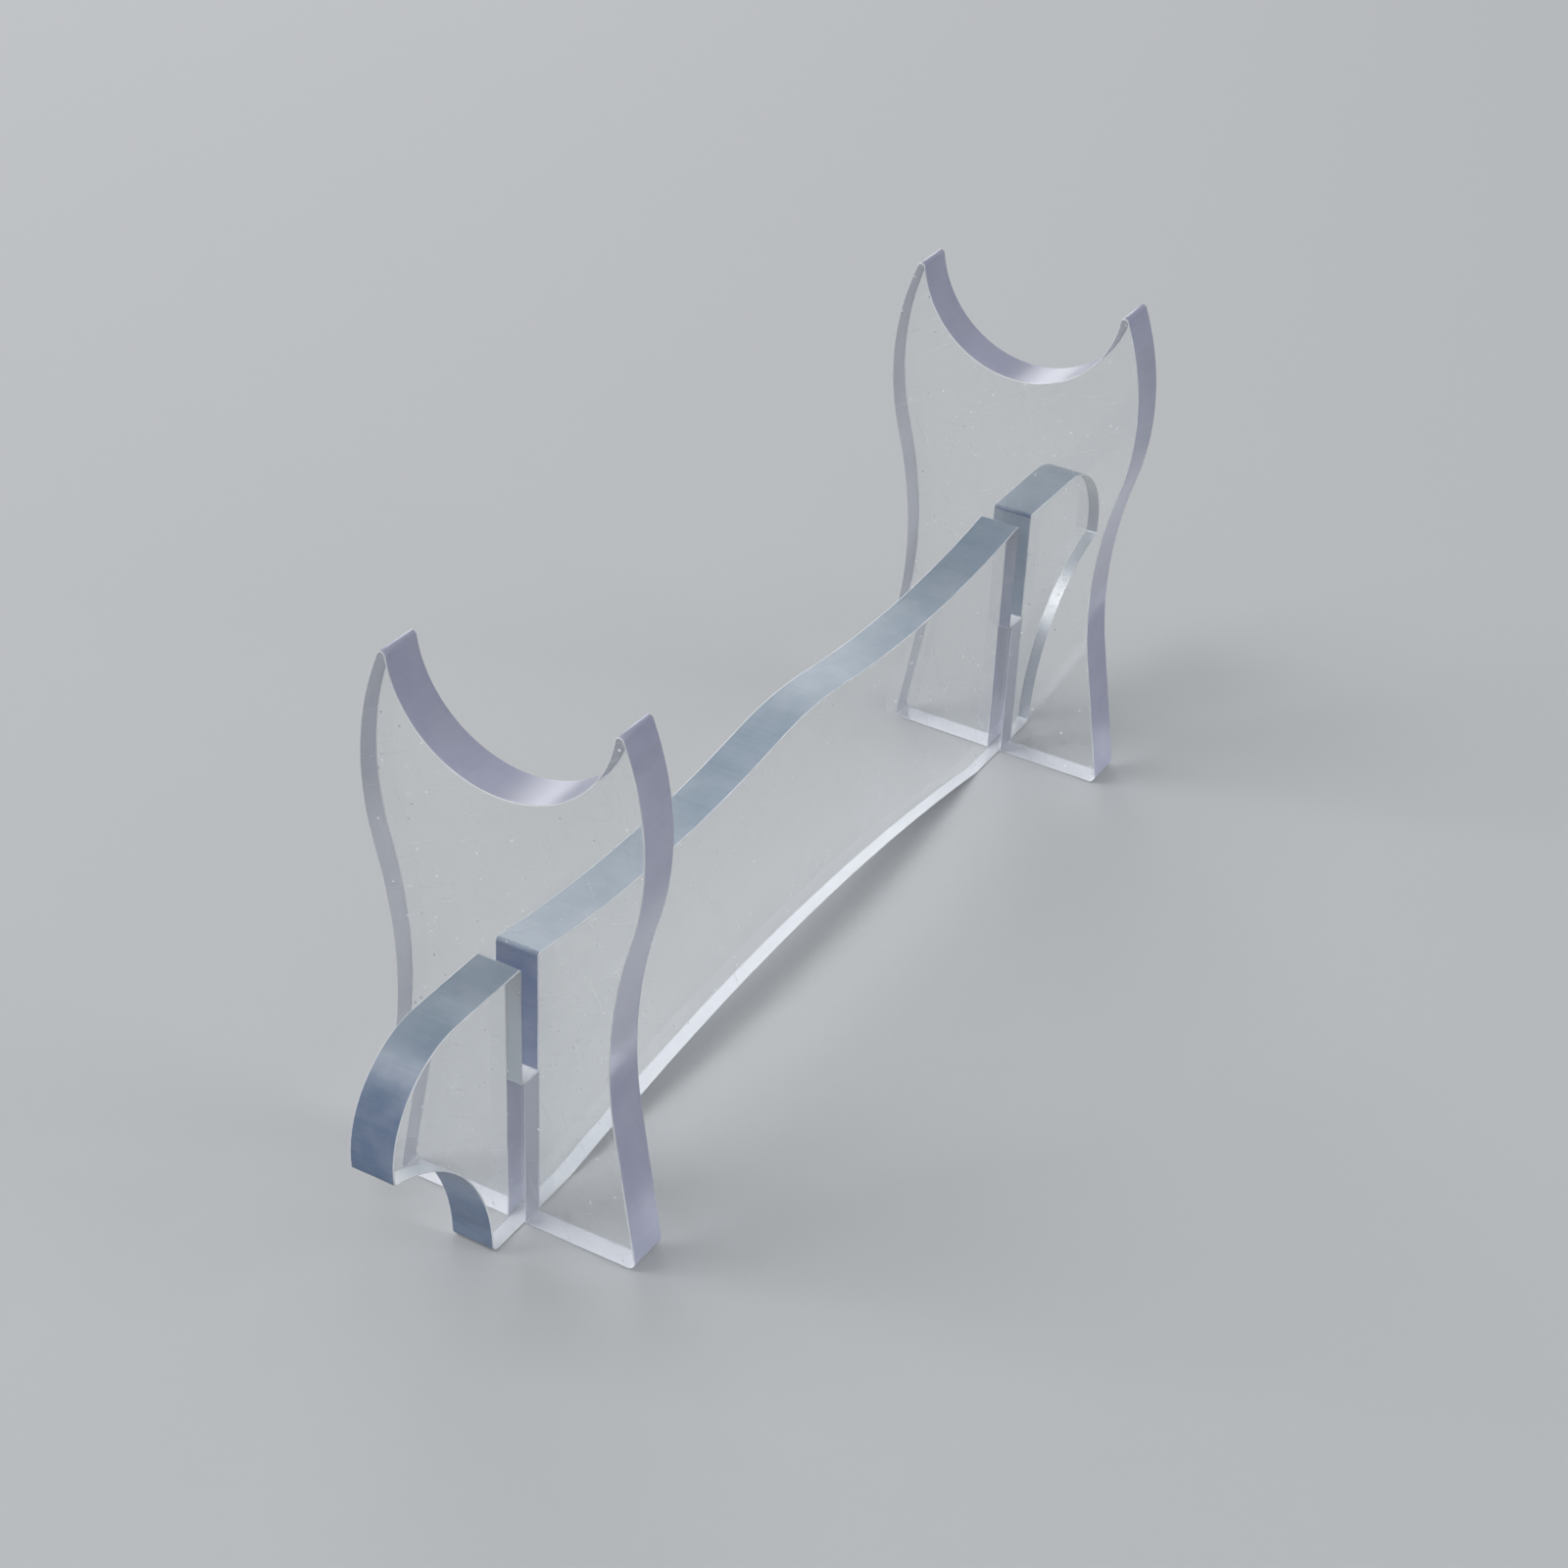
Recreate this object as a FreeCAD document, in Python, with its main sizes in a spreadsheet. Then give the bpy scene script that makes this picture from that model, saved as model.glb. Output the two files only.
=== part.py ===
"""Knock-down display stand: a long rail and two cradle plates, all cut from one thickness of
clear acrylic sheet, that slide together in half-depth slots and carry an object in two round cradles.

Frame: +X along the rail, +Z up, millimetres, origin on the floor under the middle of the stand.
"""
import FreeCAD, Part
import math
import os

import Sketcher
from FreeCAD import Vector

SIZES = {
    # what the three plates share
    "sheet_thickness": 5.0,
    "slot_clearance": 0.1,       # gap on each side of a plate that sits in a slot
    "plate_spacing": 104.7,      # middle of one cradle plate to the middle of the other
    "joint_height": 17.8,        # where the plate's slot from below meets the rail's slot from above
    "corner_radius": 0.9,        # the outer corners of every foot
    # heights of a cradle plate, each counted from the one before, the first from the floor
    "waist_height": 24.5,
    "bulge_climb": 24.4,
    "horn_climb": 12.9,          # from the bulge to the top of the horns
    "horn_drop": 1.4,            # from the middle of the round cradle down to the top of the horns
    # widths of a cradle plate's side, each counted from the one before, the first from the middle
    "cradle_radius": 12.65,
    "horn_radius": 0.5,
    "bulge_swell": 2.4,          # how far the bulge stands out past the horn
    "waist_pinch": 3.5,          # how far the waist stands in from the bulge
    "foot_flare": 3.4,           # how far the foot stands out from the waist
    "waist_radius": 48.0,        # of the arc under the waist
    # the rail's lengths, each counted from the middle of a cradle plate
    "tail_reach": 23.5,
    "foot_reach": 7.85,
    "arch_reach": 8.35,
    # the rest of the rail's outline
    "rail_height": 32.0,
    "tail_radius": 10.4,
    "tip_drop": 12.0,            # from the rail's top down to the sharp tip of its tail
    "arch_rise": 3.6,
    "valley_position": 27.5,     # middle of the rail to the lowest point of its top edge
    "valley_drop": 1.75,         # below the rail's height
    "crest_rise": 2.05,          # the crest in the middle, above the valleys
    "crest_radius": 50.0,
    "mouth_radius": 0.4,         # the top corners of the rail's slots
}

ORIGIN = (-1, 1)        # the sketch's origin, as a constraint names a point
H_AXIS = -1
V_AXIS = -2
START = 1
END = 2
CENTRE = 3


def make_sheet(doc):
    """The spreadsheet that every sketch and placement reads."""
    sheet = doc.addObject("Spreadsheet::Sheet", "sizes")
    for row, (alias, value) in enumerate(SIZES.items(), start=1):
        sheet.set("A%d" % row, alias)
        sheet.set("B%d" % row, str(value))
        sheet.setAlias("B%d" % row, alias)
    doc.recompute()
    return sheet


def origin_plane(body, role):
    """One of the body's own origin planes, such as XZ_Plane."""
    for feature in body.Origin.OriginFeatures:
        if feature.Role == role:
            return feature
    raise ValueError("%s has no %s" % (body.Label, role))


def toward(start, target, distance):
    """The point at a distance from start on the way to target."""
    way = target - start
    way.normalize()
    return start + way * distance


class Outline:
    """A closed outline in a sketch, drawn piece by piece, with every size bound to the sheet."""

    def __init__(self, body, role):
        self.sketch = body.newObject("Sketcher::SketchObject", body.Name + "_outline")
        self.sketch.AttachmentSupport = [(origin_plane(body, role), "")]
        self.sketch.MapMode = "FlatFace"
        self.pieces = []

    def line(self, start, end):
        """A straight piece; its number names it in a constraint."""
        number = self.sketch.addGeometry(Part.LineSegment(start, end), False)
        self.pieces.append((number, START, END))
        return number

    def arc(self, centre, start, end, turn):
        """A round piece from start to end, counterclockwise for a turn of 1, clockwise for -1."""
        radius = (start - centre).Length
        angles = [math.atan2(point.y - centre.y, point.x - centre.x) for point in (start, end)]
        ends = (START, END)
        if turn < 0:
            angles.reverse()
            ends = (END, START)
        if angles[1] < angles[0]:
            angles[1] += 2 * math.pi
        circle = Part.Circle(centre, Vector(0, 0, 1), radius)
        number = self.sketch.addGeometry(Part.ArcOfCircle(circle, angles[0], angles[1]), False)
        self.pieces.append((number, *ends))
        return number

    def join(self, smooth):
        """Each piece ends where the next one starts; smooth names the pairs that are also tangent."""
        for index, (number, _, end) in enumerate(self.pieces):
            after, start, _ = self.pieces[(index + 1) % len(self.pieces)]
            kind = "Tangent" if (number, after) in smooth else "Coincident"
            self.sketch.addConstraint(Sketcher.Constraint(kind, number, end, after, start))

    def rule(self, kind, *what):
        """A constraint with no size, such as Vertical."""
        self.sketch.addConstraint(Sketcher.Constraint(kind, *what))

    def size(self, kind, name, what, value, expression):
        """A constraint whose size follows the sheet."""
        number = self.sketch.addConstraint(Sketcher.Constraint(kind, *what, value))
        self.sketch.renameConstraint(number, name)
        self.sketch.setExpression("Constraints." + name, expression)

    def mark(self, point):
        """A construction point, for a size measured where no piece ends."""
        return self.sketch.addGeometry(Part.Point(point), True)


def pad_and_mirror(body, outline, role):
    """The half outline padded to the sheet's thickness about its own plane, with its mirror image."""
    pad = body.newObject("PartDesign::Pad", body.Name + "_half")
    pad.Profile = outline.sketch
    pad.setExpression("Length", "sizes.sheet_thickness")
    pad.Midplane = True
    mirrored = body.newObject("PartDesign::Mirrored", body.Name + "_whole")
    mirrored.Originals = [pad]
    mirrored.MirrorPlane = (origin_plane(body, role), [""])
    mirrored.Refine = True
    body.Tip = mirrored


def make_rail(doc):
    """The rail: two feet under a long arch, a hooked tail past each slot and a waved top edge."""
    body = doc.addObject("PartDesign::Body", "cross_rail")
    outline = Outline(body, "XZ_Plane")
    plate_middle = SIZES["plate_spacing"] / 2
    half_gap = SIZES["sheet_thickness"] / 2 + SIZES["slot_clearance"]
    slot_inner = plate_middle - half_gap
    slot_outer = plate_middle + half_gap
    slot_floor = SIZES["joint_height"] - SIZES["slot_clearance"]
    top = SIZES["rail_height"]
    corner = SIZES["corner_radius"]
    mouth = SIZES["mouth_radius"]

    # the arch is one arc through its crown and its two ends on the floor
    arch_half = plate_middle - SIZES["arch_reach"]
    arch_rise = SIZES["arch_rise"]
    arch_radius = (arch_half ** 2 + arch_rise ** 2) / (2 * arch_rise)
    arch_centre = Vector(0, arch_rise - arch_radius, 0)
    crown = Vector(0, arch_rise, 0)
    arch_end = Vector(arch_half, 0, 0)

    # the tail is round from the flat top down to its sharp tip
    tail = SIZES["tail_radius"]
    tail_centre = Vector(plate_middle + SIZES["tail_reach"] - tail, top - tail, 0)
    tail_end = Vector(tail_centre.x, top, 0)
    tip_z = top - SIZES["tip_drop"]
    tip = Vector(tail_centre.x + math.sqrt(tail ** 2 - (tip_z - tail_centre.y) ** 2), tip_z, 0)

    # the undercut leaves the floor upright at the foot's outer end and is round as far as the tip
    foot_x = plate_middle + SIZES["foot_reach"]
    undercut = ((tip.x - foot_x) ** 2 + tip.y ** 2) / (2 * (tip.x - foot_x))
    undercut_centre = Vector(foot_x + undercut, 0, 0)
    corner_x = undercut_centre.x - math.sqrt((undercut + corner) ** 2 - corner ** 2)
    corner_centre = Vector(corner_x, corner, 0)
    foot_end = Vector(corner_x, 0, 0)
    undercut_start = toward(undercut_centre, corner_centre, undercut)

    # the wave between the slots: a valley arc on each side, tangent to the crest's arc
    valley_x = SIZES["valley_position"]
    valley_bottom = top - SIZES["valley_drop"]
    rise = SIZES["crest_rise"]
    crest_radius = SIZES["crest_radius"]
    valley_radius = (valley_x ** 2 + rise ** 2) / (2 * rise) - crest_radius
    valley_centre = Vector(valley_x, valley_bottom + valley_radius, 0)
    crest = Vector(0, valley_bottom + rise, 0)
    crest_centre = Vector(0, crest.y - crest_radius, 0)
    wave_joint = toward(crest_centre, valley_centre, crest_radius)
    mouth_x = slot_inner - mouth
    mouth_drop = math.sqrt((valley_radius + mouth) ** 2 - (mouth_x - valley_x) ** 2)
    inner_centre = Vector(mouth_x, valley_centre.y - mouth_drop, 0)
    inner_wall_top = Vector(slot_inner, inner_centre.y, 0)
    valley_start = toward(valley_centre, inner_centre, valley_radius)
    outer_centre = Vector(slot_outer + mouth, top - mouth, 0)
    outer_wall_top = outer_centre - Vector(mouth, 0, 0)
    ridge_end = outer_centre + Vector(0, mouth, 0)

    arch = outline.arc(arch_centre, crown, arch_end, -1)
    foot = outline.line(arch_end, foot_end)
    foot_corner = outline.arc(corner_centre, foot_end, undercut_start, 1)
    hook = outline.arc(undercut_centre, undercut_start, tip, -1)
    tail_arc = outline.arc(tail_centre, tip, tail_end, 1)
    ridge = outline.line(tail_end, ridge_end)
    outer_mouth = outline.arc(outer_centre, ridge_end, outer_wall_top, 1)
    outer_wall = outline.line(outer_wall_top, Vector(slot_outer, slot_floor, 0))
    floor = outline.line(Vector(slot_outer, slot_floor, 0), Vector(slot_inner, slot_floor, 0))
    inner_wall = outline.line(Vector(slot_inner, slot_floor, 0), inner_wall_top)
    inner_mouth = outline.arc(inner_centre, inner_wall_top, valley_start, 1)
    valley = outline.arc(valley_centre, valley_start, wave_joint, -1)
    crest_arc = outline.arc(crest_centre, wave_joint, crest, 1)
    middle = outline.line(crest, crown)
    foot_mark = outline.mark(Vector(foot_x, 0, 0))
    valley_mark = outline.mark(Vector(valley_x, valley_bottom, 0))

    outline.join({(foot, foot_corner), (foot_corner, hook), (tail_arc, ridge), (ridge, outer_mouth),
                  (outer_mouth, outer_wall), (inner_wall, inner_mouth), (inner_mouth, valley),
                  (valley, crest_arc)})
    outline.rule("Horizontal", foot)
    outline.rule("Horizontal", ridge)
    outline.rule("Horizontal", floor)
    outline.rule("Vertical", outer_wall)
    outline.rule("Vertical", inner_wall)
    outline.rule("PointOnObject", arch, CENTRE, V_AXIS)
    outline.rule("PointOnObject", middle, END, V_AXIS)
    outline.rule("PointOnObject", middle, START, V_AXIS)
    outline.rule("PointOnObject", crest_arc, CENTRE, V_AXIS)
    outline.rule("PointOnObject", foot, START, H_AXIS)
    outline.rule("PointOnObject", hook, CENTRE, H_AXIS)
    outline.rule("PointOnObject", foot_mark, START, H_AXIS)
    outline.rule("PointOnObject", foot_mark, START, hook)
    outline.rule("PointOnObject", valley_mark, START, valley)
    outline.rule("Vertical", valley_mark, START, valley, CENTRE)

    outline.size("DistanceX", "arch_half", (*ORIGIN, foot, START), arch_half,
                 "sizes.plate_spacing / 2 - sizes.arch_reach")
    outline.size("DistanceY", "arch_rise", (*ORIGIN, middle, END), arch_rise, "sizes.arch_rise")
    outline.size("Radius", "corner", (foot_corner,), corner, "sizes.corner_radius")
    outline.size("DistanceX", "foot_end", (*ORIGIN, foot_mark, START), foot_x,
                 "sizes.plate_spacing / 2 + sizes.foot_reach")
    outline.size("DistanceY", "tip_height", (*ORIGIN, tail_arc, START), tip_z,
                 "sizes.rail_height - sizes.tip_drop")
    outline.size("Radius", "tail", (tail_arc,), tail, "sizes.tail_radius")
    outline.size("DistanceX", "tail_centre", (*ORIGIN, tail_arc, CENTRE), tail_centre.x,
                 "sizes.plate_spacing / 2 + sizes.tail_reach - sizes.tail_radius")
    outline.size("DistanceY", "height", (*ORIGIN, ridge, START), top, "sizes.rail_height")
    outline.size("Radius", "outer_mouth", (outer_mouth,), mouth, "sizes.mouth_radius")
    outline.size("Radius", "inner_mouth", (inner_mouth,), mouth, "sizes.mouth_radius")
    outline.size("DistanceX", "slot_outer", (*ORIGIN, floor, START), slot_outer,
                 "(sizes.plate_spacing + sizes.sheet_thickness) / 2 + sizes.slot_clearance")
    outline.size("DistanceX", "slot_inner", (*ORIGIN, floor, END), slot_inner,
                 "(sizes.plate_spacing - sizes.sheet_thickness) / 2 - sizes.slot_clearance")
    outline.size("DistanceY", "slot_floor", (*ORIGIN, floor, START), slot_floor,
                 "sizes.joint_height - sizes.slot_clearance")
    outline.size("DistanceX", "valley_position", (*ORIGIN, valley_mark, START), valley_x,
                 "sizes.valley_position")
    outline.size("DistanceY", "valley_height", (*ORIGIN, valley_mark, START), valley_bottom,
                 "sizes.rail_height - sizes.valley_drop")
    outline.size("DistanceY", "crest_height", (*ORIGIN, middle, START), crest.y,
                 "sizes.rail_height - sizes.valley_drop + sizes.crest_rise")
    outline.size("Radius", "crest_radius", (crest_arc,), crest_radius, "sizes.crest_radius")
    pad_and_mirror(body, outline, "YZ_Plane")
    return body


def make_cradle_plate(doc, name, side):
    """A cradle plate: a straight foot, a waist, two horns with a round cradle between them, and a
    slot from below. Its side is -1 or 1 along the rail."""
    body = doc.addObject("PartDesign::Body", name)
    outline = Outline(body, "YZ_Plane")
    slot_side = SIZES["sheet_thickness"] / 2 + SIZES["slot_clearance"]
    slot_roof = SIZES["joint_height"] + SIZES["slot_clearance"]
    corner = SIZES["corner_radius"]
    waist_z = SIZES["waist_height"]
    bulge_z = waist_z + SIZES["bulge_climb"]
    horn_top = bulge_z + SIZES["horn_climb"]

    # a horn's small round tip touches the cradle's circle from outside
    horn = SIZES["horn_radius"]
    cradle = SIZES["cradle_radius"]
    cradle_centre = Vector(0, horn_top + SIZES["horn_drop"], 0)
    cradle_bottom = cradle_centre - Vector(0, cradle, 0)
    horn_z = horn_top - horn
    horn_x = math.sqrt((cradle + horn) ** 2 - (cradle_centre.y - horn_z) ** 2)
    horn_centre = Vector(horn_x, horn_z, 0)
    horn_end = toward(cradle_centre, horn_centre, cradle)

    # the bulge's arc is upright at the bulge and touches the tip from outside
    swell = SIZES["bulge_swell"]
    bulge_x = horn_x + horn + swell
    horn_lift = horn_z - bulge_z
    bulge_radius = ((swell + horn) ** 2 + horn_lift ** 2 - horn ** 2) / (2 * swell)
    bulge_centre = Vector(bulge_x - bulge_radius, bulge_z, 0)
    horn_start = toward(bulge_centre, horn_centre, bulge_radius)

    # the arc over the waist is upright at the waist and meets the bulge's arc smoothly
    pinch = SIZES["waist_pinch"]
    climb = SIZES["bulge_climb"]
    waist = Vector(bulge_x - pinch, waist_z, 0)
    upper_radius = (climb ** 2 + pinch ** 2) / (2 * pinch) - bulge_radius
    upper_centre = waist + Vector(upper_radius, 0, 0)
    side_joint = toward(upper_centre, bulge_centre, upper_radius)

    # the arc under the waist runs into a straight flank that ends at the foot's corner
    lower_radius = SIZES["waist_radius"]
    lower_centre = waist + Vector(lower_radius, 0, 0)
    foot_tip = Vector(waist.x + SIZES["foot_flare"], 0, 0)
    to_centre = lower_centre - foot_tip
    flank_angle = math.atan2(to_centre.y, to_centre.x) + math.asin(lower_radius / to_centre.Length)
    flank_way = Vector(math.cos(flank_angle), math.sin(flank_angle), 0)
    flank_end = foot_tip + flank_way * math.sqrt(to_centre.Length ** 2 - lower_radius ** 2)
    corner_cut = corner / math.tan((math.pi - flank_angle) / 2)
    corner_start = foot_tip - Vector(corner_cut, 0, 0)
    corner_end = foot_tip + flank_way * corner_cut
    corner_centre = corner_start + Vector(0, corner, 0)

    slot_mouth = Vector(slot_side, 0, 0)
    slot_corner = Vector(slot_side, slot_roof, 0)
    slot_top = Vector(0, slot_roof, 0)

    foot = outline.line(slot_mouth, corner_start)
    foot_corner = outline.arc(corner_centre, corner_start, corner_end, 1)
    flank = outline.line(corner_end, flank_end)
    lower_waist = outline.arc(lower_centre, flank_end, waist, -1)
    upper_waist = outline.arc(upper_centre, waist, side_joint, -1)
    bulge = outline.arc(bulge_centre, side_joint, horn_start, 1)
    horn_tip = outline.arc(horn_centre, horn_start, horn_end, 1)
    cradle_arc = outline.arc(cradle_centre, horn_end, cradle_bottom, -1)
    middle = outline.line(cradle_bottom, slot_top)
    roof = outline.line(slot_top, slot_corner)
    wall = outline.line(slot_corner, slot_mouth)
    foot_mark = outline.mark(foot_tip)
    bulge_mark = outline.mark(Vector(bulge_x, bulge_z, 0))

    outline.join({(foot, foot_corner), (foot_corner, flank), (flank, lower_waist),
                  (upper_waist, bulge), (bulge, horn_tip), (horn_tip, cradle_arc)})
    outline.rule("Horizontal", foot)
    outline.rule("Horizontal", roof)
    outline.rule("Vertical", wall)
    outline.rule("PointOnObject", foot, START, H_AXIS)
    outline.rule("PointOnObject", middle, START, V_AXIS)
    outline.rule("PointOnObject", middle, END, V_AXIS)
    outline.rule("PointOnObject", cradle_arc, CENTRE, V_AXIS)
    outline.rule("PointOnObject", foot_mark, START, H_AXIS)
    outline.rule("PointOnObject", foot_mark, START, flank)
    outline.rule("PointOnObject", bulge_mark, START, bulge)
    outline.rule("Horizontal", bulge_mark, START, bulge, CENTRE)
    outline.rule("Horizontal", lower_waist, CENTRE, lower_waist, START)
    outline.rule("Horizontal", upper_waist, CENTRE, upper_waist, END)

    outline.size("DistanceX", "slot_side", (*ORIGIN, foot, START), slot_side,
                 "sizes.sheet_thickness / 2 + sizes.slot_clearance")
    outline.size("DistanceY", "slot_roof", (*ORIGIN, roof, START), slot_roof,
                 "sizes.joint_height + sizes.slot_clearance")
    outline.size("Radius", "corner", (foot_corner,), corner, "sizes.corner_radius")
    outline.size("Radius", "cradle", (cradle_arc,), cradle, "sizes.cradle_radius")
    outline.size("DistanceY", "cradle_height", (*ORIGIN, cradle_arc, CENTRE), cradle_centre.y,
                 "sizes.waist_height + sizes.bulge_climb + sizes.horn_climb + sizes.horn_drop")
    outline.size("Radius", "horn", (horn_tip,), horn, "sizes.horn_radius")
    outline.size("DistanceY", "horn_height", (*ORIGIN, horn_tip, CENTRE), horn_z,
                 "sizes.waist_height + sizes.bulge_climb + sizes.horn_climb - sizes.horn_radius")
    outline.size("DistanceY", "bulge_height", (*ORIGIN, bulge, CENTRE), bulge_z,
                 "sizes.waist_height + sizes.bulge_climb")
    outline.size("DistanceX", "bulge_swell", (horn_tip, CENTRE, bulge_mark, START), horn + swell,
                 "sizes.horn_radius + sizes.bulge_swell")
    outline.size("DistanceX", "waist_pinch", (upper_waist, END, bulge_mark, START), pinch,
                 "sizes.waist_pinch")
    outline.size("DistanceY", "waist_height", (*ORIGIN, upper_waist, END), waist_z,
                 "sizes.waist_height")
    outline.size("Radius", "waist_radius", (lower_waist,), lower_radius, "sizes.waist_radius")
    outline.size("DistanceX", "foot_flare", (upper_waist, END, foot_mark, START),
                 SIZES["foot_flare"], "sizes.foot_flare")
    pad_and_mirror(body, outline, "XZ_Plane")
    body.setExpression("Placement.Base.x", "%d * sizes.plate_spacing / 2" % side)
    return body


def check(doc, bodies):
    """Stops before anything is written if a feature failed or a plate is not one good solid."""
    for item in doc.Objects:
        if "Invalid" in item.State or "Error" in item.State:
            raise RuntimeError("%s failed: %s" % (item.Label, item.State))
    for body in bodies:
        shape = body.Shape
        if shape.isNull() or not shape.isValid() or len(shape.Solids) != 1:
            raise RuntimeError("%s has no good solid" % body.Label)


def main():
    doc = FreeCAD.newDocument("display_stand")
    make_sheet(doc)
    bodies = [
        make_rail(doc),
        make_cradle_plate(doc, "left_cradle_plate", -1),
        make_cradle_plate(doc, "right_cradle_plate", 1),
    ]
    doc.recompute()
    check(doc, bodies)
    os.makedirs("parts", exist_ok=True)
    for body in bodies:
        body.Shape.exportStep("parts/%s.step" % body.Label)
        print(body.Label, body.Shape.BoundBox, "%.1f mm3" % body.Shape.Volume)


main()
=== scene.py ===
"""Looks of the display stand: three sheets of clear acrylic with satin cut edges, on a pale floor.

The frame gives the shape of every sheet, in metres, with +X along the rail and +Z up.
"""
import math

import bmesh
import bpy
from mathutils import Matrix, Vector


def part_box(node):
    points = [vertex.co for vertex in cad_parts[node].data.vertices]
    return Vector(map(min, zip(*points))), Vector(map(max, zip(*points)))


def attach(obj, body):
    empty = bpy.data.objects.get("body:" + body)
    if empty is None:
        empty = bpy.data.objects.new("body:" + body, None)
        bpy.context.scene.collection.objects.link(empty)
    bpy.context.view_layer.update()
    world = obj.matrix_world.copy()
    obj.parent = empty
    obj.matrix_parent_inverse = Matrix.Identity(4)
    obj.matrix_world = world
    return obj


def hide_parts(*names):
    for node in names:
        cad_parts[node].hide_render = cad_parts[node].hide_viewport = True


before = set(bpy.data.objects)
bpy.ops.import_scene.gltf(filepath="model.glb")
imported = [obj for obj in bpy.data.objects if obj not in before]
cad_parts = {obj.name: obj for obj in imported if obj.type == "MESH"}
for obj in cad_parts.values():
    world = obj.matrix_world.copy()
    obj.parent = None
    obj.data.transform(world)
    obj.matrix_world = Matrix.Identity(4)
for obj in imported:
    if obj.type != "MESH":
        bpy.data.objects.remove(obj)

bl_info = {
    "name": "Acrylic display stand",
    "version": (1, 0, 0),
    "blender": (4, 5, 0),
    "location": "3D View > Sidebar > Display Stand",
    "description": "Builds the clear sheets of a slotted display stand and the stage they stand on",
    "category": "Object",
}

MM = 0.001
RAIL_AXIS, PLATE_AXIS = 1, 0        # the rail's sheet is thin along Y, the plates' along X

# a sheet's material slots, and what tells its cut faces apart; the arris, underside and wall slots
# carry some painted light and shade
FACE, CUT, ARRIS, UNDERSIDE_AND_GLINT, SHADED_INNER_WALL, LIT_OUTER_WALL = range(6)
FLAT_ON = 0.9                       # part of a normal that lies along the thickness of a face
SQUARE_ON = 0.95                    # part of a normal that lies along an axis of a slot's wall
DOWNWARD = -0.6                     # a normal's Z below this faces the floor
FOOT_TOP = 6 * MM                   # the feet and the arch lie below this height
JOINT_TOP = 20 * MM                 # a slot's roof and floor lie below this height
SLOT_REACH = 4 * MM                 # how near to a plate's middle its slot's surfaces lie
SLOT_BOTTOM = 16 * MM               # their middles lie above this height
SLOT_TOP = 31 * MM                  # and below this one
WELD = 0.001 * MM                   # vertices nearer than this are one
COPLANAR = math.radians(0.5)        # faces that turn less than this become one
SHARP = math.radians(30)            # edges that turn more than this are broken

ACRYLIC_IOR = 1.49

# below, CELLS is how fine a noise is, in cells to the millimetre, RANGE is the part of its values
# that turns into shading, and COVER is how much of what is behind it something hides

# the polished faces
SPECK_CORE = 0.6                    # part of a speck's radius that is solid
HAIR_ANGLES = (25, 118)             # the two directions of the hair scratches, in degrees
HAIR_CELLS = 16.0
HAIR_RANGE = (0.80, 0.86)
HAIR_COVER = 0.35
VEIL_CELLS = 0.09
VEIL_RANGE = (0.4, 0.75)
VEIL_COVER = 0.04
EVEN_COVER = 0.025                  # the same all over a face
LAMP_TINT = (0.90, 0.91, 0.92, 1.0)     # what a face lets through on the way from a lamp

# the satin edges: each SATIN is its clearness, least roughness and the cutter marks' share
CUT_SATIN = (0.4, 0.29, 0.25)
WALL_SATIN = (0.35, 0.30, 0.3)
UNDERSIDE_SATIN = (0.15, 0.45, 0.7)
MARK_CHANGE = 0.04                  # how fast a cutter mark changes across the sheet
CLOUD_CELLS = 0.22
CLOUD_ROUGHNESS = 0.06              # how much rougher the cloudiest satin is
GRAIN_CELLS = 9.0
SHADE_RANGE = (0.30, 0.70)
FROST_AND_PAINTED_LIGHT = (0.88, 0.90, 0.97, 1.0)     # the colour that clouds turn towards, and that the pale zone's painted light turns towards
CLOUD_SHARE = 0.12                  # how far the cloudiest satin turns towards it
PAINTED_LIGHT_SHARE = 0.45                   # how far the palest part of a plate's edge, painted light, turns towards it
BUMP_STRENGTH = 0.12
BUMP_DEPTH = 0.02 * MM

# the broken edges, whose near-white colour is a painted highlight
ARRIS_CELLS = 0.5
ARRIS_DULLING = 0.86                # brightness of its dullest parts, beside its brightest

# the lamps: name, place, size, power and colour
LAMPS = (
    ("key_lamp", (-0.55, 0.75, 0.95), 0.7, 7.6, (1.0, 1.0, 1.0)),
    ("side_lamp", (0.2, -1.1, 0.8), 0.6, 3.2, (0.97, 0.98, 1.0)),
    ("back_lamp", (0.95, 0.80, 0.38), 0.7, 4.4, (1.0, 1.0, 1.0)),
)
LAMPS_FACE = (0, 0, 0.03)


# ------------------------------------------------------------------ sizes and colours

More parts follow.
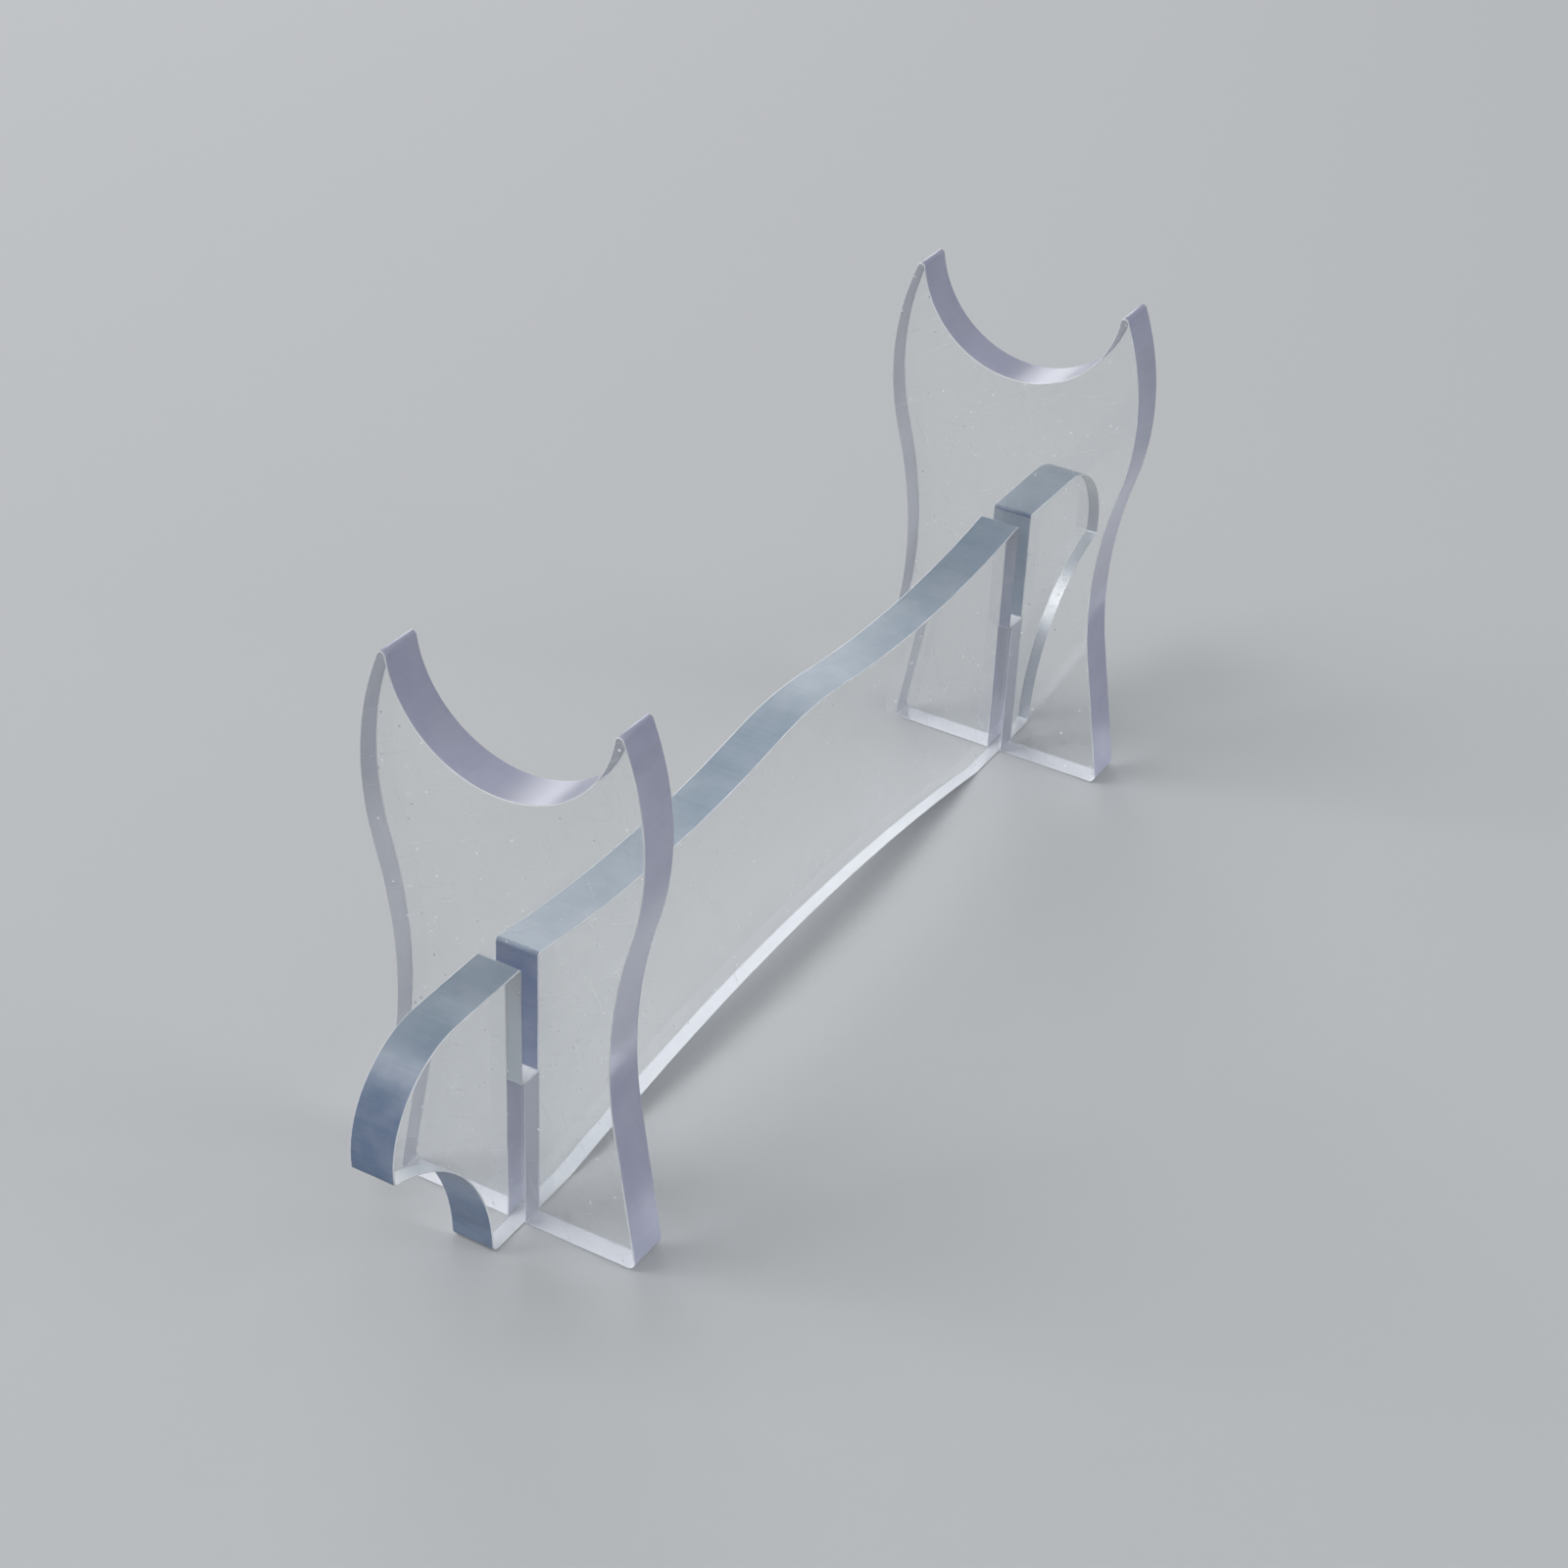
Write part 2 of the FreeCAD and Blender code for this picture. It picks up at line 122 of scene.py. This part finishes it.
class StandSheets(bpy.types.PropertyGroup):
    """What the clear sheets look like."""
    arris_width: bpy.props.FloatProperty(
        name="Arris width", description="Width of the broken edge around every sheet",
        default=0.00011, min=0.00001, max=0.0005, precision=5, unit="LENGTH", subtype="DISTANCE")
    dust_spacing: bpy.props.FloatProperty(
        name="Dust spacing", description="Typical distance from one dust speck to the next",
        default=0.0019, min=0.0005, max=0.02, precision=4, unit="LENGTH", subtype="DISTANCE")
    dust_radius: bpy.props.FloatProperty(
        name="Dust radius", description="Radius of the largest dust speck",
        default=0.00017, min=0.00002, max=0.001, precision=5, unit="LENGTH", subtype="DISTANCE")
    hair_length: bpy.props.FloatProperty(
        name="Hair scratch length", description="Typical length of a hair scratch on a face",
        default=0.007, min=0.001, max=0.05, precision=4, unit="LENGTH", subtype="DISTANCE")
    mark_pitch: bpy.props.FloatProperty(
        name="Cutter mark pitch", description="Distance from one cutter mark to the next",
        default=0.0006, min=0.0001, max=0.01, precision=4, unit="LENGTH", subtype="DISTANCE")
    # painted light: a plate's cut edge is painted paler about one height, standing in for light
    # that passes through the sheet
    painted_light_height: bpy.props.FloatProperty(
        name="Pale height", description="Height at which a cradle plate's cut edge is palest",
        default=0.034, min=0, max=0.1, precision=4, unit="LENGTH", subtype="DISTANCE")
    painted_light_spread: bpy.props.FloatProperty(
        name="Pale spread", description="How far above and below that height the edge is paler",
        default=0.013, min=0.001, max=0.1, precision=4, unit="LENGTH", subtype="DISTANCE")
    dust_cover: bpy.props.FloatProperty(
        name="Dust cover", description="How much of what is behind it a dust speck hides",
        default=0.85, min=0, max=1, subtype="FACTOR")
    face_colour: bpy.props.FloatVectorProperty(
        name="Face", description="Tint of the light that passes a polished face",
        default=(0.975, 0.985, 0.99), min=0, max=1, subtype="COLOR")
    dust_colour: bpy.props.FloatVectorProperty(
        name="Dust", description="Colour of specks and hair scratches",
        default=(0.97, 0.97, 0.98), min=0, max=1, subtype="COLOR")
    # painted shade: the rail's cut edge is painted darker and bluer than the plates', as a painted
    # reflection of dark surroundings
    rail_shaded_edge: bpy.props.FloatVectorProperty(
        name="Rail edge", description="Satin cut edge of the rail",
        default=(0.18, 0.245, 0.31), min=0, max=1, subtype="COLOR")
    plate_edge: bpy.props.FloatVectorProperty(
        name="Plate edge", description="Satin cut edge of the cradle plates",
        default=(0.41, 0.425, 0.565), min=0, max=1, subtype="COLOR")
    # painted shade: the rail's cut edge is painted darker and bluer where it faces -X
    rail_shaded_end: bpy.props.FloatVectorProperty(
        name="Rail end", description="Satin cut edge of the rail where it faces -X",
        default=(0.055, 0.105, 0.21), min=0, max=1, subtype="COLOR")
    # painted light and shade: the slots' walls are the rail's cut edge, painted lighter on the
    # outer walls and dark blue on the inner walls
    lit_outer_wall: bpy.props.FloatVectorProperty(
        name="Outer slot wall", description="Outer walls of the rail's slots, on the tail's side",
        default=(0.34, 0.41, 0.48), min=0, max=1, subtype="COLOR")
    shaded_inner_wall: bpy.props.FloatVectorProperty(
        name="Inner slot wall", description="Inner walls of the rail's slots, in little light",
        default=(0.045, 0.085, 0.24), min=0, max=1, subtype="COLOR")
    # partly painted light: the undersides are sawn, rougher and more marked, and painted near-white
    # for the light that passes down through the sheet
    rail_lit_underside: bpy.props.FloatVectorProperty(
        name="Rail underside", description="Cut edges of the rail that face the floor",
        default=(0.70, 0.73, 0.78), min=0, max=1, subtype="COLOR")
    plate_lit_underside: bpy.props.FloatVectorProperty(
        name="Plate underside", description="Cut edges of the cradle plates that face the floor",
        default=(0.90, 0.91, 0.95), min=0, max=1, subtype="COLOR")
    # painted highlight: the broken edges are painted near-white
    arris_highlight: bpy.props.FloatVectorProperty(
        name="Arris", description="Broken edges, which catch the light",
        default=(0.90, 0.92, 0.96), min=0, max=1, subtype="COLOR")


class StandStage(bpy.types.PropertyGroup):
    """The floor, the light and the camera."""
    floor_size: bpy.props.FloatProperty(
        name="Floor size", description="Side of the square floor",
        default=6.0, min=0.5, max=50, unit="LENGTH", subtype="DISTANCE")
    fade_start: bpy.props.FloatProperty(
        name="Fade start", description="Distance from the stand where the floor starts to fade",
        default=0.4, min=0.1, max=10, unit="LENGTH", subtype="DISTANCE")
    fade_end: bpy.props.FloatProperty(
        name="Fade end", description="Distance from the stand where the floor has faded away",
        default=1.3, min=0.2, max=20, unit="LENGTH", subtype="DISTANCE")
    floor_drop: bpy.props.FloatProperty(
        name="Floor drop", description="Distance of the floor below the feet",
        default=0.00005, min=0, max=0.001, precision=5, unit="LENGTH", subtype="DISTANCE")
    floor_colour: bpy.props.FloatVectorProperty(
        name="Floor", description="Colour of the floor",
        default=(0.50, 0.51, 0.52), min=0, max=1, subtype="COLOR")
    sky_colour: bpy.props.FloatVectorProperty(
        name="Sky", description="Colour of the even light from all sides",
        default=(0.50, 0.51, 0.52), min=0, max=1, subtype="COLOR")
    target: bpy.props.FloatVectorProperty(
        name="Camera target", description="The point in the middle of the picture",
        default=(-0.00351, -0.00155, 0.02424), precision=5, unit="LENGTH", subtype="TRANSLATION")
    distance: bpy.props.FloatProperty(
        name="Camera distance", description="From the camera to the target",
        default=0.34077, min=0.05, precision=5, unit="LENGTH", subtype="DISTANCE")
    azimuth: bpy.props.FloatProperty(
        name="Camera azimuth", description="Turn of the camera about the upright axis",
        default=math.radians(-61.169), unit="ROTATION", subtype="ANGLE")
    elevation: bpy.props.FloatProperty(
        name="Camera elevation", description="Height angle of the camera above the floor",
        default=math.radians(33.592), unit="ROTATION", subtype="ANGLE")
    roll: bpy.props.FloatProperty(
        name="Camera roll", description="Turn of the camera about its own line of sight",
        default=math.radians(2.794), unit="ROTATION", subtype="ANGLE")
    focal_length: bpy.props.FloatProperty(
        name="Focal length", description="Focal length in millimetres on a 36 mm wide sensor",
        default=72.294, min=10, max=300)


# ------------------------------------------------------------------ shader maths

class Wire:
    """One shader socket, which takes part in Python expressions."""

    def __init__(self, graph, socket):
        self.graph = graph
        self.socket = socket

    def __add__(self, other):
        return self.graph.maths("ADD", self, other)

    def __radd__(self, other):
        return self.graph.maths("ADD", other, self)

    def __sub__(self, other):
        return self.graph.maths("SUBTRACT", self, other)

    def __rsub__(self, other):
        return self.graph.maths("SUBTRACT", other, self)

    def __mul__(self, other):
        return self.graph.maths("MULTIPLY", self, other)

    def __rmul__(self, other):
        return self.graph.maths("MULTIPLY", other, self)


class Graph:
    """The node tree of one material or of the world."""

    def __init__(self, tree):
        self.tree = tree
        tree.nodes.clear()

    def node(self, kind, sockets=None, output=0, **settings):
        """A node of any type: its settings first, then the values or links of its sockets."""
        node = self.tree.nodes.new(kind)
        for name, value in settings.items():
            setattr(node, name, value)
        for name, value in (sockets or {}).items():
            if isinstance(value, Wire):
                self.tree.links.new(value.socket, node.inputs[name])
            else:
                node.inputs[name].default_value = value
        return Wire(self, node.outputs[output]) if node.outputs else None

    def maths(self, operation, first, second):
        """A Math node of two values."""
        return self.node("ShaderNodeMath", {0: first, 1: second}, operation=operation)

    def blend(self, factor, first, second):
        """One colour turning into another as the factor goes from 0 to 1."""
        return self.node("ShaderNodeMix", {0: factor, 6: first, 7: second}, 2, data_type="RGBA")

    def ramp_between(self, value, low, high):
        """0 below low, 1 above high, and smooth between; low may be above high."""
        sockets = {"Value": value, "From Min": low, "From Max": high}
        return self.node("ShaderNodeMapRange", sockets, interpolation_type="SMOOTHSTEP")

    def place(self, turn=(0, 0, 0), scale=(1, 1, 1)):
        """Position on the piece in millimetres, turned and then scaled."""
        where = self.node("ShaderNodeTexCoord", output="Object")
        in_mm = self.node("ShaderNodeVectorMath", {0: where, "Scale": 1 / MM}, operation="SCALE")
        turned = self.node("ShaderNodeMapping", {"Vector": in_mm, "Rotation": turn})
        return self.node("ShaderNodeMapping", {"Vector": turned, "Scale": scale})

    def noise(self, where, scale, detail=2.0, roughness=0.5):
        """A noise value, about 0.5 on average; scale is in cells to the millimetre."""
        sockets = {"Vector": where, "Scale": scale, "Detail": detail, "Roughness": roughness}
        return self.node("ShaderNodeTexNoise", sockets)


def solid(colour):
    """A colour property as the four numbers a socket takes."""
    return (*colour, 1.0)


def new_material(name):
    """An empty material with its graph."""
    material = bpy.data.materials.new(name)
    material.use_nodes = True
    return material, Graph(material.node_tree)


def finish_material(graph, surface):
    """Links a shader to the material's output."""
    graph.node("ShaderNodeOutputMaterial", {"Surface": surface})


def hair_scratches(graph, looks, thickness_axis):
    """Thin long scratches on a face, in two directions."""
    hairs = []
    for angle in HAIR_ANGLES:
        turn = [0.0, 0.0, 0.0]
        turn[thickness_axis] = math.radians(angle)
        stretch = (HAIR_CELLS, HAIR_CELLS, MM / looks.hair_length)
        line = graph.noise(graph.place(turn, stretch), 1.0, 0.0)
        hairs.append(graph.ramp_between(line, *HAIR_RANGE))
    return hairs[0] + hairs[1]


def polished_face(name, looks, thickness_axis):
    """The clear polished face, with a faint veil, dust specks and a few hair scratches."""
    material, graph = new_material(name)
    here = graph.place()
    cells = MM / looks.dust_spacing
    nearest = graph.node("ShaderNodeTexVoronoi", {"Vector": here, "Scale": cells}, "Distance")
    radius = looks.dust_radius / looks.dust_spacing
    specks = graph.ramp_between(nearest, radius, radius * SPECK_CORE) * looks.dust_cover
    hairs = hair_scratches(graph, looks, thickness_axis) * HAIR_COVER
    smudge = graph.noise(here, VEIL_CELLS, 3.0, 0.6)
    veil = graph.ramp_between(smudge, *VEIL_RANGE) * VEIL_COVER
    cover = graph.node("ShaderNodeClamp", {"Value": specks + hairs + veil + EVEN_COVER})
    glass = graph.node("ShaderNodeBsdfPrincipled", {
        "Base Color": solid(looks.face_colour), "Roughness": 0.0, "IOR": ACRYLIC_IOR,
        "Transmission Weight": 1.0})
    dust = graph.node("ShaderNodeBsdfPrincipled", {
        "Base Color": solid(looks.dust_colour), "Roughness": 0.9, "IOR": 1.2})
    dusty = graph.node("ShaderNodeMixShader", {0: cover, 1: glass, 2: dust})
    from_lamp = graph.node("ShaderNodeLightPath", output="Is Shadow Ray")
    through = graph.node("ShaderNodeBsdfTransparent", {"Color": LAMP_TINT})
    surface = graph.node("ShaderNodeMixShader", {0: from_lamp, 1: dusty, 2: through})
    finish_material(graph, surface)
    return material


def satin_edge(name, looks, colour, thickness_axis, satin, shaded_end_colour=None, painted_light_zone=False):
    """A cut edge: cloudy satin with cutter marks that run straight across the sheet.

    An end colour, painted shade, takes over where the edge faces -X. A pale zone is painted light:
    paler about one height.
    """
    material, graph = new_material(name)
    clearness, least_roughness, mark_share = satin
    across = [1.0, 1.0, 1.0]
    across[thickness_axis] = MARK_CHANGE
    marks = graph.noise(graph.place(scale=across), MM / looks.mark_pitch, 2.0, 0.6)
    cloud = graph.noise(graph.place(), CLOUD_CELLS, 4.0, 0.55)
    grain = graph.noise(graph.place(), GRAIN_CELLS)
    shade = graph.ramp_between(marks * mark_share + cloud * (1 - mark_share), *SHADE_RANGE)
    base = solid(colour)
    # painted shade: darker where the edge faces -X
    if shaded_end_colour:
        facing = graph.node("ShaderNodeTexCoord", output="Normal")
        along = graph.node("ShaderNodeSeparateXYZ", {"Vector": facing}, "X")
        base = graph.blend(graph.ramp_between(along * -1, 0.0, 1.0), base, solid(shaded_end_colour))
    # painted light: the plates' cut edges are painted paler about one height
    if painted_light_zone:
        height = graph.node("ShaderNodeSeparateXYZ", {"Vector": graph.place()}, "Z")
        above = height - looks.painted_light_height / MM
        pale = graph.ramp_between(above * above, (looks.painted_light_spread / MM) ** 2, 0.0)
        base = graph.blend(pale * PAINTED_LIGHT_SHARE, base, FROST_AND_PAINTED_LIGHT)
    base = graph.blend(shade * CLOUD_SHARE, base, FROST_AND_PAINTED_LIGHT)
    bump = graph.node("ShaderNodeBump", {
        "Height": marks * 0.5 + grain * 0.5, "Strength": BUMP_STRENGTH, "Distance": BUMP_DEPTH})
    surface = graph.node("ShaderNodeBsdfPrincipled", {
        "Base Color": base, "Roughness": least_roughness + cloud * CLOUD_ROUGHNESS,
        "IOR": ACRYLIC_IOR, "Transmission Weight": clearness, "Normal": bump})
    finish_material(graph, surface)
    return material


def broken_arris(name, looks):
    """The broken edge, with a painted highlight: brighter than the surfaces beside it and slightly
    uneven.
    """
    material, graph = new_material(name)
    uneven = graph.ramp_between(graph.noise(graph.place(), ARRIS_CELLS), *SHADE_RANGE)
    dull = [channel * ARRIS_DULLING for channel in looks.arris_highlight]
    base = graph.blend(uneven, solid(dull), solid(looks.arris_highlight))
    surface = graph.node("ShaderNodeBsdfPrincipled", {
        "Base Color": base, "Roughness": 0.2, "IOR": ACRYLIC_IOR, "Transmission Weight": 0.3})
    finish_material(graph, surface)
    return material


def sheet_materials(prefix, looks, edge, underside, axis, shaded_end_colour=None):
    """The finishes of one sheet, in the order of its material slots; only the rail has walls."""
    materials = [
        polished_face(prefix + "_face", looks, axis),
        # the plates' cut edges get the painted light of the pale zone
        satin_edge(prefix + "_cut", looks, edge, axis, CUT_SATIN, shaded_end_colour, axis == PLATE_AXIS),
        broken_arris(prefix + "_arris", looks),
        satin_edge(prefix + "_underside", looks, underside, axis, UNDERSIDE_SATIN),
    ]
    # the walls' colours are painted light and painted shade
    if axis == RAIL_AXIS:
        walls = {"_shaded_inner_wall": looks.shaded_inner_wall, "_lit_outer_wall": looks.lit_outer_wall}
        for ending, colour in walls.items():
            materials.append(satin_edge(prefix + ending, looks, colour, axis, WALL_SATIN))
    return materials


# ------------------------------------------------------------------ the sheets

def finish_of(face, thickness_axis, plate_x):
    """Which of a sheet's finishes a face takes; plate_x is a plate's distance from the middle."""
    normal = face.normal
    middle = face.calc_center_median()
    by_plate = abs(abs(middle.x) - plate_x) < SLOT_REACH
    in_slot = by_plate and SLOT_BOTTOM < middle.z < SLOT_TOP
    if abs(normal[thickness_axis]) > FLAT_ON:
        return FACE
    if normal.z < DOWNWARD and middle.z < FOOT_TOP:
        return UNDERSIDE_AND_GLINT
    # painted highlight: a slot's roof and floor take the near-white underside finish as a glint at
    # the joint
    if in_slot and abs(normal.z) > SQUARE_ON and middle.z < JOINT_TOP:
        return UNDERSIDE_AND_GLINT
    if in_slot and abs(normal.x) > SQUARE_ON:
        # painted shade on the inner walls, painted light on the outer ones
        return SHADED_INNER_WALL if abs(middle.x) < plate_x else LIT_OUTER_WALL
    return CUT


def build_sheet(node, name, body, materials, thickness_axis, arris_width):
    """A clear sheet on a CAD node's own shape, with every sharp edge broken."""
    mesh = bpy.data.meshes.new(name)
    shape = bmesh.new()
    shape.from_mesh(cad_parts[node].data)
    bmesh.ops.remove_doubles(shape, verts=shape.verts, dist=WELD)
    bmesh.ops.dissolve_limit(shape, angle_limit=COPLANAR, verts=shape.verts, edges=shape.edges)
    shape.normal_update()
    low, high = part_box("right_cradle_plate")
    plate_x = (low[0] + high[0]) / 2
    for face in shape.faces:
        face.smooth = True
        face.material_index = finish_of(face, thickness_axis, plate_x)
    shape.to_mesh(mesh)
    shape.free()
    sheet = bpy.data.objects.new(name, mesh)
    bpy.context.scene.collection.objects.link(sheet)
    for material in materials:
        mesh.materials.append(material)
    bevel = sheet.modifiers.new("broken arrises", "BEVEL")
    bevel.width = arris_width
    bevel.segments = 2
    bevel.limit_method = "ANGLE"
    bevel.angle_limit = SHARP
    bevel.material = ARRIS
    level = sheet.modifiers.new("flat faces", "WEIGHTED_NORMAL")
    level.weight = 50
    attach(sheet, body)
    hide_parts(node)
    return sheet


class STAND_OT_cross_rail(bpy.types.Operator):
    """Build the long rail that carries the two cradle plates"""
    bl_idname = "stand.cross_rail"
    bl_label = "Cross Rail"

    def execute(self, context):
        looks = context.scene.stand_sheets
        materials = sheet_materials("rail", looks, looks.rail_shaded_edge, looks.rail_lit_underside,
                                    RAIL_AXIS, looks.rail_shaded_end)
        build_sheet("cross_rail", "rail_sheet", "rail", materials, RAIL_AXIS,
                    looks.arris_width)
        return {"FINISHED"}


class STAND_OT_cradle_plates(bpy.types.Operator):
    """Build the two upright plates, each with its round cradle"""
    bl_idname = "stand.cradle_plates"
    bl_label = "Cradle Plates"

    def execute(self, context):
        looks = context.scene.stand_sheets
        materials = sheet_materials("plate", looks, looks.plate_edge, looks.plate_lit_underside,
                                    PLATE_AXIS)
        for side in ("left", "right"):
            build_sheet(side + "_cradle_plate", side + "_cradle_sheet", side + "_plate",
                        materials, PLATE_AXIS, looks.arris_width)
        return {"FINISHED"}


# ------------------------------------------------------------------ the stage

def build_floor(stage):
    """A plain pale floor just under the feet."""
    half = stage.floor_size / 2
    corners = [(-half, -half), (half, -half), (half, half), (-half, half)]
    mesh = bpy.data.meshes.new("floor")
    mesh.from_pydata([(x, y, -stage.floor_drop) for x, y in corners], [], [(0, 1, 2, 3)])
    floor = bpy.data.objects.new("floor", mesh)
    bpy.context.scene.collection.objects.link(floor)
    material, graph = new_material("floor_paper")
    paper = graph.node("ShaderNodeBsdfPrincipled", {
        "Base Color": solid(stage.floor_colour), "Roughness": 0.8, "IOR": 1.3})
    where = graph.node("ShaderNodeTexCoord", output="Object")
    away = graph.node("ShaderNodeVectorMath", {0: where}, "Value", operation="LENGTH")
    haze = graph.node("ShaderNodeEmission", {"Color": solid(stage.sky_colour)})
    fade = graph.ramp_between(away, stage.fade_start, stage.fade_end)
    finish_material(graph, graph.node("ShaderNodeMixShader", {0: fade, 1: paper, 2: haze}))
    mesh.materials.append(material)


def build_lamp(name, place, size, power, colour):
    """A soft square lamp that faces the stand."""
    light = bpy.data.lights.new(name, "AREA")
    light.shape = "SQUARE"
    light.size = size
    light.energy = power
    light.color = colour
    lamp = bpy.data.objects.new(name, light)
    bpy.context.scene.collection.objects.link(lamp)
    lamp.location = place
    lamp.rotation_euler = (Vector(place) - Vector(LAMPS_FACE)).to_track_quat("Z", "Y").to_euler()


def build_camera(stage):
    """The camera, from its turn, height, roll and distance about the target."""
    turn, height, roll = stage.azimuth, stage.elevation, stage.roll
    back = Vector((math.sin(turn) * math.cos(height), -math.cos(turn) * math.cos(height),
                   math.sin(height)))
    level = Vector((math.cos(turn), math.sin(turn), 0))
    upright = back.cross(level)
    right = math.cos(roll) * level + math.sin(roll) * upright
    up = math.cos(roll) * upright - math.sin(roll) * level
    camera_data = bpy.data.cameras.new("camera")
    camera_data.sensor_width = 36
    camera_data.lens = stage.focal_length
    camera_data.clip_start = 0.01
    camera_data.clip_end = 100
    camera = bpy.data.objects.new("camera", camera_data)
    bpy.context.scene.collection.objects.link(camera)
    camera.matrix_world = (Matrix.Translation(Vector(stage.target) + stage.distance * back)
                           @ Matrix((right, up, back)).transposed().to_4x4())
    bpy.context.scene.camera = camera


class STAND_OT_stage(bpy.types.Operator):
    """Build the floor, the lamps, the even light and the camera"""
    bl_idname = "stand.stage"
    bl_label = "Stage"

    def execute(self, context):
        stage = context.scene.stand_stage
        build_floor(stage)
        for lamp in LAMPS:
            build_lamp(*lamp)
        world = bpy.data.worlds.new("even_light")
        world.use_nodes = True
        graph = Graph(world.node_tree)
        light = graph.node("ShaderNodeBackground", {"Color": solid(stage.sky_colour)})
        graph.node("ShaderNodeOutputWorld", {"Surface": light})
        context.scene.world = world
        context.scene.view_settings.view_transform = "Standard"
        build_camera(stage)
        return {"FINISHED"}


class STAND_PT_sidebar(bpy.types.Panel):
    """Lists the pieces and the stage"""
    bl_idname = "STAND_PT_sidebar"
    bl_label = "Display Stand"
    bl_space_type = "VIEW_3D"
    bl_region_type = "UI"
    bl_category = "Display Stand"

    def draw(self, context):
        for group in (context.scene.stand_sheets, context.scene.stand_stage):
            for name in group.__annotations__:
                self.layout.prop(group, name)
        for operator in OPERATORS:
            self.layout.operator(operator.bl_idname)


GROUPS = {"stand_sheets": StandSheets, "stand_stage": StandStage}
OPERATORS = (STAND_OT_cross_rail, STAND_OT_cradle_plates, STAND_OT_stage)


def register():
    """Registers every class and hangs the property groups on the scene."""
    for cls in (*GROUPS.values(), *OPERATORS, STAND_PT_sidebar):
        bpy.utils.register_class(cls)
    for name, group in GROUPS.items():
        setattr(bpy.types.Scene, name, bpy.props.PointerProperty(type=group))


def unregister():
    """Takes back what register did."""
    for name in GROUPS:
        delattr(bpy.types.Scene, name)
    for cls in reversed((*GROUPS.values(), *OPERATORS, STAND_PT_sidebar)):
        bpy.utils.unregister_class(cls)


def main():
    """Builds the stand and its stage."""
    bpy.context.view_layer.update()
    register()
    bpy.ops.stand.cross_rail()
    bpy.ops.stand.cradle_plates()
    bpy.ops.stand.stage()


if __name__ == "__main__":
    main()
